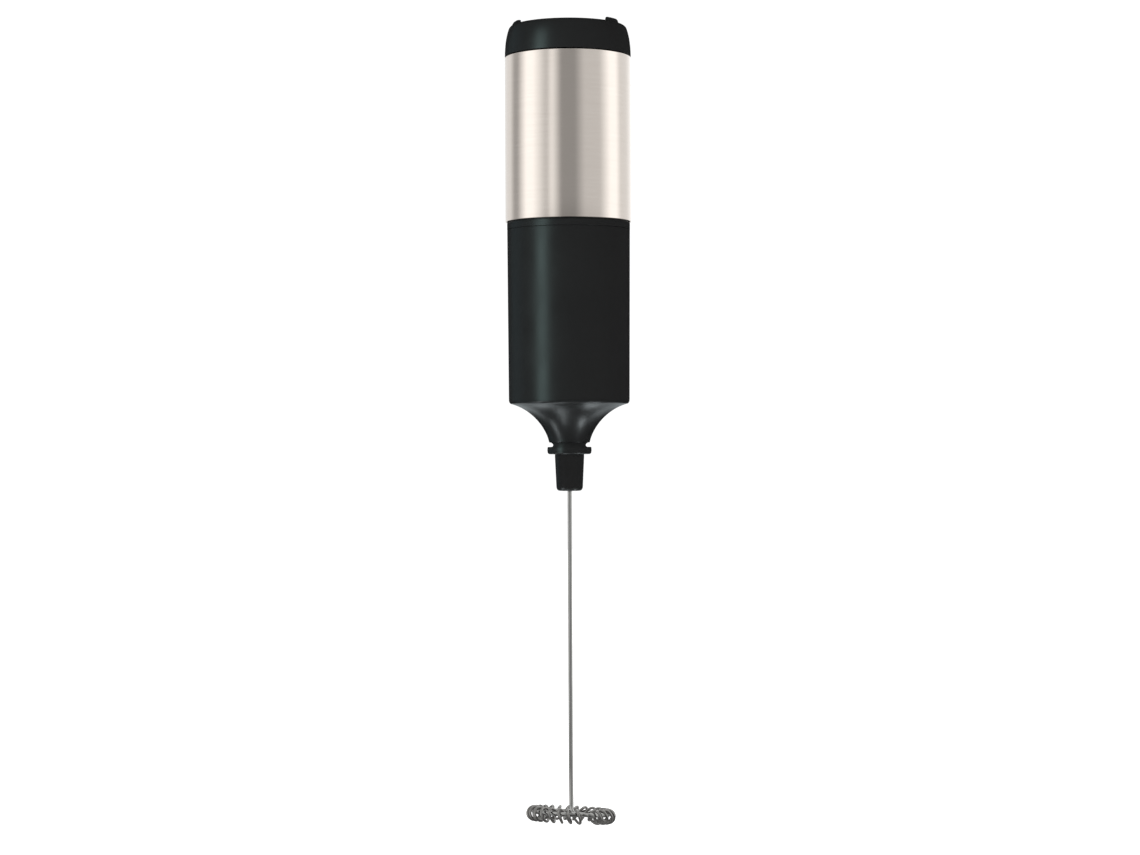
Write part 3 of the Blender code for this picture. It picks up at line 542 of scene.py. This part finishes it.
def make_whisk():
    """The wire with its spoke and ring, and the coil threaded on the ring"""
    bend = 2.0
    inner_bend = 1.6
    spoke_end = math.sqrt((RING_RADIUS - inner_bend) ** 2 - inner_bend ** 2)
    meeting = math.degrees(math.atan2(inner_bend, spoke_end))
    points = [(0, 0, -72.0 - 8.0 * i) for i in range(11)]
    points += [in_ring_plane(x, 0, z) for x, z in arc((bend, bend), bend, 180, 270, 10)]
    points += [in_ring_plane(x, y) for x, y in arc((spoke_end, inner_bend), inner_bend, -90, meeting, 10)]
    points += [in_ring_plane(x, y) for x, y in arc((0, 0), RING_RADIUS, meeting + 5, meeting + 335, 90)]
    finished("whisk_wire_fine", tube_mesh("whisk_wire_fine", points, WIRE_RADIUS, 20), WIRE, "rotor",
             "whisk_wire")
    per_turn = 24
    count = COIL_TURNS * per_turn
    points = []
    for i in range(count + 1):
        round_coil = TURN * (i / per_turn + 0.5)
        reach = COIL_RING_RADIUS + COIL_RADIUS * math.cos(round_coil)
        height = COIL_RADIUS * math.sin(round_coil)
        round_ring = math.radians(COIL_START + COIL_SWEEP * i / count)
        round_ring -= COIL_LEAN * height / COIL_RING_RADIUS
        points.append(in_ring_plane(reach * math.cos(round_ring), reach * math.sin(round_ring),
                                    height - COIL_DROP))
    # the coil takes the darker steel, whose colour carries painted shade
    finished("whisk_coil_fine", tube_mesh("whisk_coil_fine", points, COIL_WIRE, 12), SHADED_COIL_STEEL, "rotor",
             "whisk_coil")


make_sleeve()
make_tube()
make_cap()
make_button()
make_housing()
make_collar()
make_holder()
make_whisk()


# ---- cells ------------------------------------------------------------------------------
def make_cell(name, upward):
    """An AA cell: a steel can, and a wrapper of two colours shrunk over its edges"""
    low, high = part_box(name)
    middle = (low + high) / 2 / MM
    half = (high.z - low.z) / 2 / MM
    shoulder = half - 1.3
    parting = half * 0.42
    can_radius, film_inner, film_outer = 6.9, 6.92, 7.1
    can = [
        (0, half), (2.45, half, 0.3), (2.68, shoulder + 0.1, 0.2), (3.4, shoulder - 0.1, 0.3),
        (5.9, shoulder - 0.1), (can_radius, shoulder - 0.2, 0.4), (can_radius, 0.2 - half, 0.5),
        (5.0, 0.2 - half), (4.7, 0.02 - half, 0.2), (0, 0.02 - half),
    ]
    band = [
        (5.7, shoulder - 0.08), (5.75, shoulder, 0.05), (film_outer, shoulder, 0.5), (film_outer, parting),
        (film_inner, parting), (film_inner, shoulder - 0.15, 0.4),
    ]
    wrapper = [
        (film_outer, parting), (film_outer, -half, 0.5), (5.7, -half, 0.05), (5.65, 0.15 - half),
        (film_inner, 0.15 - half, 0.4), (film_inner, parting),
    ]
    way = 1 if upward else -1
    for suffix, outline, material, node, slot in (
            ("_can", can, NICKEL, name, "plated_steel"), ("_band", band, BAND_BLUE, None, "cell_wrap"),
            ("_wrapper", wrapper, WRAPPER, None, "cell_wrap")):
        shape = [(radius, way * height) for radius, height in filleted(outline, closed=outline is not can)]
        revolved(name + suffix, shape, material, "handle", node, angles=72, centre=tuple(middle))


make_cell("battery_a", True)
make_cell("battery_b", False)


# ---- nodes that keep their own shape ----------------------------------------------------
CARRIED = {
    SOFT_BLACK: ["battery_carrier"],
    NICKEL: ["contact_plate_a", "contact_plate_b", "contact_spring_a", "contact_spring_b", "contact_pad_b",
             "carrier_screw_1", "carrier_screw_2", "switch_screw_1", "switch_screw_2", "button_spring",
             "bridge_retainer", "motor_can"],
    BRASS: ["bridge_contact", "thrust_washer"],
    COPPER: ["brush_left", "brush_right", "commutator", "rotor_winding_1", "rotor_winding_2",
             "rotor_winding_3"],
    BRONZE: ["front_bearing", "rear_bearing"],
    PALE: ["switch_plate", "motor_cradle", "motor_end_bell"],
    RUBBER: ["shaft_seal"],
    FERRITE: ["magnet_left", "magnet_right"],
    CORE: ["rotor_core"],
    WIRE: ["motor_shaft"],
    RED: ["lead_red"],
    BLACK_WIRE: ["lead_black"],
}
for material, names in CARRIED.items():
    for name in names:
        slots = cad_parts[name].data.materials
        slots.clear()
        slots.append(material)


# ---- studio -----------------------------------------------------------------------------
# cards around the bright metal: heading of the middle in degrees from the front towards the right,
# width in degrees, radiance; the light changes evenly from one card to the next
METAL_CARDS = [
    (-155, 50, 1.0),    # wall at the left back
    (-110, 10, 0.5),    # black flag
    (-75, 15, 1.6),     # soft box on the left
    (-40, 5, 0.8),      # gap before the strip
    (-30, 5, 1.2),      # strip light beside the camera
    (0, 25, 0.4),       # dark side where the camera stands
    (45, 30, 0.8),      # wall at the right front
    (90, 15, 1.6),      # soft box on the right
    (120, 20, 1.0),     # wall at the right back
    (165, 15, 1.3),     # back light
]
# radiance of the darker studio around the black pieces, from the front to the back
BLACK_HEADINGS = [(0, 0.27), (60, 0.25), (100, 0.15), (150, 0.05), (180, 0.03)]
CARD_STRENGTH = 2.0      # radiance of a card of full brightness
STUDIO_RADIUS = 6.0
FLOOR_RADIUS = 4.0
FLOOR_HEIGHT = -0.30
LIGHT_DISTANCE = 0.8


def black_radiance(degrees):
    """Radiance of the darker studio at a heading, the same on the left and the right"""
    return float(np.interp(abs(degrees), *zip(*BLACK_HEADINGS)))


def metal_headings():
    """Both edges of every card, closed with the first card's radiance at the back"""
    edges = []
    for middle, width, radiance in METAL_CARDS:
        edges += [(middle - width / 2, radiance), (middle + width / 2, radiance)]
    return edges + [(180, METAL_CARDS[0][2])]


def card_color(tree, direction, cards, below):
    """Brightness of the cards by the heading of a direction, times below under the horizon"""
    nodes, links = tree.nodes, tree.links
    parts = nodes.new("ShaderNodeSeparateXYZ")
    links.new(direction, parts.inputs["Vector"])
    flip = nodes.new("ShaderNodeMath")
    flip.operation = "MULTIPLY"
    flip.inputs[1].default_value = -1.0
    links.new(parts.outputs["Y"], flip.inputs[0])
    heading = nodes.new("ShaderNodeMath")
    heading.operation = "ARCTAN2"
    links.new(parts.outputs["X"], heading.inputs[0])
    links.new(flip.outputs[0], heading.inputs[1])
    share = ranged(tree, heading.outputs[0], 0.0, 1.0, -math.pi, math.pi)
    ramp = nodes.new("ShaderNodeValToRGB")
    elements = ramp.color_ramp.elements
    for i, (degrees, radiance) in enumerate(cards):
        if i == 0:
            element = elements[0]
        elif i == len(cards) - 1:
            element = elements[-1]
        else:
            element = elements.new((degrees + 180) / 360)
        value = radiance / CARD_STRENGTH
        element.color = (value, value, value, 1)
    links.new(share, ramp.inputs["Fac"])
    level = nodes.new("ShaderNodeValToRGB")
    heights = level.color_ramp.elements
    heights[0].position, heights[0].color = 0.36, (below, below, below, 1)
    heights[1].position, heights[1].color = 0.47, (1, 1, 1, 1)
    links.new(ranged(tree, parts.outputs["Z"], 0.0, 1.0, -1.0, 1.0), level.inputs["Fac"])
    product = nodes.new("ShaderNodeMix")
    product.data_type = "RGBA"
    product.blend_type = "MULTIPLY"
    product.inputs[0].default_value = 1.0
    links.new(ramp.outputs["Color"], product.inputs[6])
    links.new(level.outputs["Color"], product.inputs[7])
    return product.outputs[2]


def make_world():
    """A dim studio that every piece sees, with white behind the object"""
    world = bpy.data.worlds.new("studio")
    world.use_nodes = True
    tree = world.node_tree
    nodes, links = tree.nodes, tree.links
    where = nodes.new("ShaderNodeTexCoord")
    headings = sorted({sign * degrees for degrees, _ in BLACK_HEADINGS for sign in (-1, 1)})
    cards = [(degrees, black_radiance(degrees)) for degrees in headings]
    dim = nodes["Background"]
    dim.inputs["Strength"].default_value = CARD_STRENGTH
    links.new(card_color(tree, where.outputs["Generated"], cards, below=0.16), dim.inputs["Color"])
    white = nodes.new("ShaderNodeBackground")
    white.inputs["Color"].default_value = (1, 1, 1, 1)
    white.inputs["Strength"].default_value = 1.05
    ray = nodes.new("ShaderNodeLightPath")
    mix = nodes.new("ShaderNodeMixShader")
    links.new(ray.outputs["Is Camera Ray"], mix.inputs["Fac"])
    links.new(dim.outputs["Background"], mix.inputs[1])
    links.new(white.outputs["Background"], mix.inputs[2])
    links.new(mix.outputs["Shader"], nodes["World Output"].inputs["Surface"])
    bpy.context.scene.world = world


def make_card_shell(lit):
    """A clear sphere round the studio that adds the metal's cards to the dim light of the world"""
    mesh = bpy.data.meshes.new("card_shell")
    bm = bmesh.new()
    bmesh.ops.create_uvsphere(bm, u_segments=64, v_segments=32, radius=1.0)
    bm.to_mesh(mesh)
    bm.free()
    shell = bpy.data.objects.new("card_shell", mesh)
    shell.scale = (STUDIO_RADIUS, STUDIO_RADIUS, STUDIO_RADIUS)
    bpy.context.scene.collection.objects.link(shell)
    material = bpy.data.materials.new("card_shell")
    material.use_nodes = True
    tree = material.node_tree
    nodes, links = tree.nodes, tree.links
    nodes.remove(nodes["Principled BSDF"])
    where = nodes.new("ShaderNodeTexCoord")
    direction = nodes.new("ShaderNodeVectorMath")
    direction.operation = "NORMALIZE"
    links.new(where.outputs["Object"], direction.inputs[0])
    cards = [(degrees, radiance - black_radiance(degrees)) for degrees, radiance in metal_headings()]
    glow = nodes.new("ShaderNodeEmission")
    glow.inputs["Strength"].default_value = CARD_STRENGTH
    links.new(card_color(tree, direction.outputs[0], cards, below=0.45), glow.inputs["Color"])
    both = nodes.new("ShaderNodeAddShader")
    links.new(glow.outputs[0], both.inputs[0])
    links.new(nodes.new("ShaderNodeBsdfTransparent").outputs[0], both.inputs[1])
    links.new(both.outputs[0], nodes["Material Output"].inputs["Surface"])
    mesh.materials.append(material)
    shell.visible_camera = False
    shell.visible_shadow = False
    shell.light_linking.receiver_collection = lit


def soft_box(name, width, length, radiance, color, lit):
    """A rectangular light of an even radiance that only lights the pieces of one collection"""
    data = bpy.data.lights.new(name, "AREA")
    data.shape = "RECTANGLE"
    data.size, data.size_y = width, length
    data.energy = radiance * math.pi * width * length
    data.color = color
    light = bpy.data.objects.new(name, data)
    bpy.context.scene.collection.objects.link(light)
    light.visible_camera = False
    light.light_linking.receiver_collection = lit
    return light


def side_box(name, heading, width, radiance, color, lit):
    """A tall soft box at a heading in degrees from the front towards the right, facing the axis"""
    length = 0.9
    light = soft_box(name, width, length, radiance, color, lit)
    a = math.radians(heading)
    light.location = (LIGHT_DISTANCE * math.sin(a), -LIGHT_DISTANCE * math.cos(a), 0.0)
    light.rotation_euler = (-light.location).to_track_quat("-Z", "Y").to_euler()


def low_strip(name, start, end, width, radiance, color, lit):
    """A strip light just above the floor between two (x, y) points, facing up at the cone"""
    height = FLOOR_HEIGHT + 0.01
    cone = Vector((0, 0, -0.055))
    start, end = Vector((*start, height)), Vector((*end, height))
    middle = (start + end) / 2
    light = soft_box(name, width, (end - start).length, radiance, color, lit)
    toward = (cone - middle).normalized()
    along = (end - start) - toward * (end - start).dot(toward)
    along.normalize()
    turn = Matrix((along.cross(-toward), along, -toward)).transposed()
    light.matrix_world = Matrix.Translation(middle) @ turn.to_4x4()


# name, the two ends, width, radiance
LOW_STRIPS = [
    ("left_front", (-0.29, -0.168), (-0.165, 0.05), 0.045, 6.0),
    ("left_mid", (-0.18, 0.14), (-0.15, 0.36), 0.04, 1.1),
    ("left_back", (-0.13, 0.44), (-0.13, 0.80), 0.08, 0.9),
    ("left_inner", (-0.075, 0.22), (-0.06, 0.34), 0.04, 2.0),
    ("middle_front", (-0.05, -0.08), (-0.034, 0.08), 0.02, 6.5),
    ("middle_back", (-0.034, 0.08), (-0.008, 0.20), 0.02, 6.5),
    ("right_low", (0.24, -0.22), (0.18, -0.12), 0.04, 1.5),
    ("right_front", (0.145, -0.05), (0.11, 0.015), 0.045, 13.0),
    ("right_mid", (0.165, 0.10), (0.145, 0.26), 0.04, 1.6),
    ("right_back", (0.145, 0.26), (0.11, 0.70), 0.08, 0.9),
    ("right_inner", (0.06, 0.16), (0.045, 0.28), 0.04, 3.2),
]


def make_floor():
    """A pale round floor that glows a little, so that it stays as light as the wall behind"""
    mesh = bpy.data.meshes.new("floor")
    sides = 64
    ring = [(FLOOR_RADIUS * math.cos(TURN * i / sides), FLOOR_RADIUS * math.sin(TURN * i / sides),
             FLOOR_HEIGHT) for i in range(sides)]
    mesh.from_pydata(ring, [], [tuple(range(sides))])
    floor = bpy.data.objects.new("floor", mesh)
    bpy.context.scene.collection.objects.link(floor)
    material, tree, shader = node_material("floor")
    shade = mixed_color(tree, noise_of(tree, 2.0), (0.90, 0.90, 0.90), (0.92, 0.92, 0.92))
    tree.links.new(shade, shader.inputs["Base Color"])
    shader.inputs["Roughness"].default_value = 0.9
    shader.inputs["Emission Color"].default_value = (1, 1, 1, 1)
    shader.inputs["Emission Strength"].default_value = 0.38
    mesh.materials.append(material)
    floor.visible_glossy = False


def make_studio():
    """The world and floor, the shell that only the other pieces see, and lights for the black ones"""
    make_world()
    make_floor()
    black_pieces = bpy.data.collections.new("black_pieces")
    bpy.context.scene.collection.children.link(black_pieces)
    other_pieces = bpy.data.collections.new("other_pieces")
    side_lit = bpy.data.collections.new("side_lit")
    for name in ("tube", "cap", "button", "housing", "collar", "holder"):
        black_pieces.objects.link(bpy.data.objects[name])
        other_pieces.objects.link(bpy.data.objects[name])
        if name != "holder":
            side_lit.objects.link(bpy.data.objects[name])
    for entry in other_pieces.collection_objects:
        entry.light_linking.link_state = "EXCLUDE"
    make_card_shell(other_pieces)
    cool = (0.70, 1.0, 0.97)
    side_box("side_box", -51.0, 0.26, 2.75, cool, side_lit)
    blue = (0.45, 0.85, 1.0)
    side_box("rim_box", -115.0, 0.5, 0.12, blue, black_pieces)
    pale = (0.88, 0.97, 1.0)
    for name, start, end, width, radiance in LOW_STRIPS:
        low_strip(name, start, end, width, radiance, pale, black_pieces)
    bpy.context.scene.view_settings.view_transform = "Standard"


make_studio()
